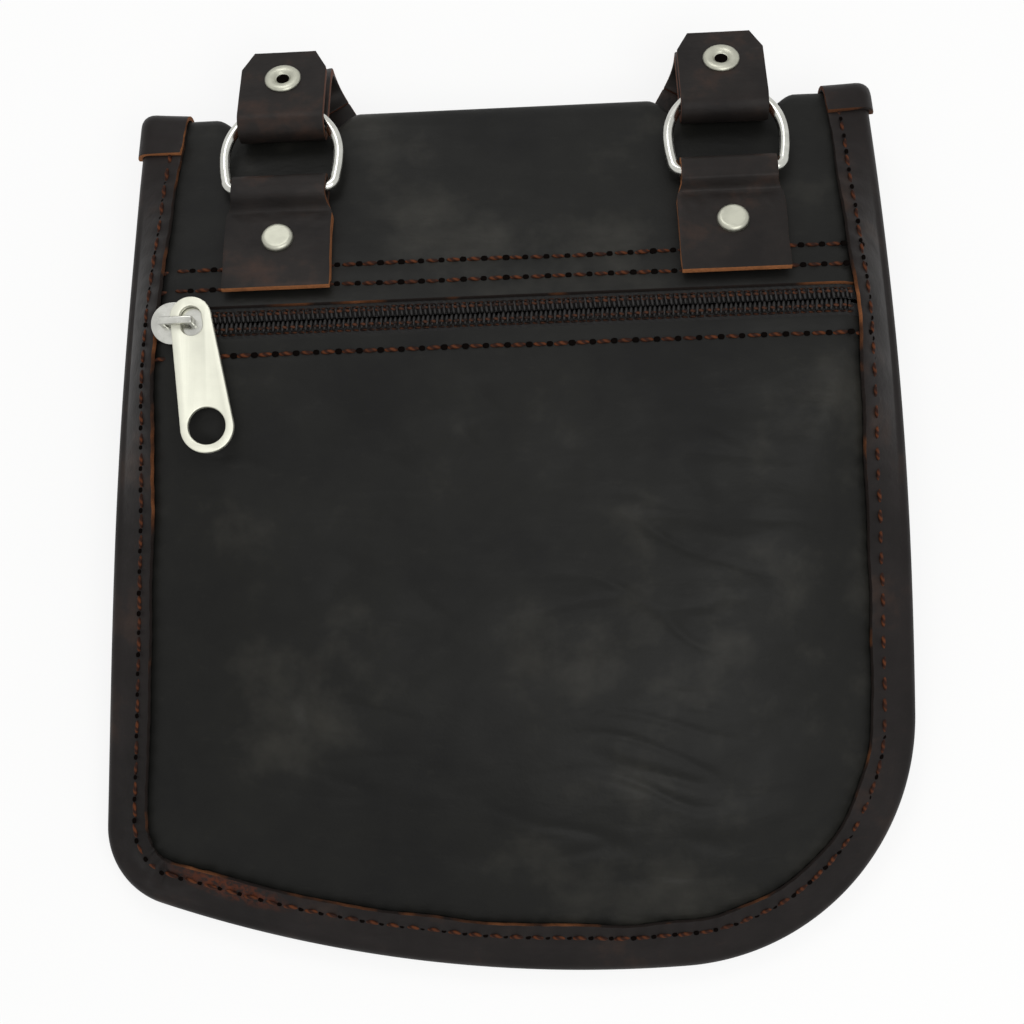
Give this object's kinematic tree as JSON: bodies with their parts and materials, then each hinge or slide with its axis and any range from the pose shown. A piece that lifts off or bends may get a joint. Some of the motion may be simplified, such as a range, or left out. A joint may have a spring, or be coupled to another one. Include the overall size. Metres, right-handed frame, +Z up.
{
  "type": "leather zip pouch",
  "caption": "Small soft dark leather pouch lying zip side up, with bound edges, a coil zip with a metal puller, riveted ring tabs and a press-studded strap handle.",
  "frame": {"origin": "bottom centre of the bounding box, on the surface the pouch lies on", "axes": "+Z up, out of the zip face; +Y from the round bottom edge to the folded top edge; +X along the zip, the way the slider opens"},
  "size_m": [0.2036, 0.2386, 0.043],
  "materials": {
    "leather_panel": "matte, lightly waxed grain",
    "leather_binding": "matte, browner than the panels",
    "leather_tab": "matte, raw tan edges",
    "leather_strap": "matte, raw brown edges",
    "zip_tape": "woven tape",
    "zip_coil": "dark coil with brown thread",
    "slider_nickel": "bright nickel",
    "puller_metal": "satin pale metal",
    "rivet_nickel": "satin nickel",
    "ring_nickel": "bright nickel",
    "snap_nickel": "satin nickel"
  },
  "bodies": {
    "bag": {"wrap_panel": "leather_panel", "front_panel": "leather_panel", "edge_binding": "leather_binding", "zip_tape_upper": "zip_tape", "zip_tape_lower": "zip_tape", "zip_coil_upper": "zip_coil", "zip_coil_lower": "zip_coil", "tab_left": "leather_tab", "tab_right": "leather_tab", "rivet_cap_left": "rivet_nickel", "rivet_cap_right": "rivet_nickel", "rivet_post_left": "rivet_nickel", "rivet_post_right": "rivet_nickel", "handle_strap": "leather_strap"},
    "slider": {"slider_body": "slider_nickel", "slider_bridge": "slider_nickel"},
    "puller": {"puller": "puller_metal"},
    "ring_left": {"d_ring_left": "ring_nickel", "handle_leg_left": "leather_strap", "snap_cap_left": "snap_nickel", "snap_socket_left": "snap_nickel"},
    "tail_left": {"tail_left": "leather_strap", "snap_stud_left": "snap_nickel", "snap_eyelet_left": "snap_nickel"},
    "ring_right": {"d_ring_right": "ring_nickel", "handle_leg_right": "leather_strap", "snap_cap_right": "snap_nickel", "snap_socket_right": "snap_nickel"},
    "tail_right": {"tail_right": "leather_strap", "snap_stud_right": "snap_nickel", "snap_eyelet_right": "snap_nickel"}
  },
  "joints": [
    {"name": "zip_slide", "type": "slide", "parent": "bag", "child": "slider", "axis": [1, 0, 0], "range_m": [0, 0.15]},
    {"name": "puller_swivel", "type": "hinge", "parent": "slider", "child": "puller", "pos_m": [-0.07331, 0.03998, 0.03956], "axis": [0, -0.0596, 0.9982], "range_deg": [-15, 60]},
    {"name": "ring_left_swing", "type": "hinge", "parent": "bag", "child": "ring_left", "pos_m": [-0.05286, 0.07665, 0.03196], "axis": [1, 0, 0], "range_deg": [0, 30]},
    {"name": "tail_left_open", "type": "hinge", "parent": "ring_left", "child": "tail_left", "pos_m": [-0.05286, 0.09723, 0.03288], "axis": [1, 0, 0], "range_deg": [0, 75]},
    {"name": "ring_right_swing", "type": "hinge", "parent": "bag", "child": "ring_right", "pos_m": [0.06014, 0.07665, 0.03196], "axis": [1, 0, 0], "range_deg": [0, 30]},
    {"name": "tail_right_open", "type": "hinge", "parent": "ring_right", "child": "tail_right", "pos_m": [0.06014, 0.09723, 0.03288], "axis": [1, 0, 0], "range_deg": [0, 75]}
  ],
  "couplings": [
    {"joint": "ring_right_swing", "follows": "ring_left_swing", "ratio": 1}
  ]
}
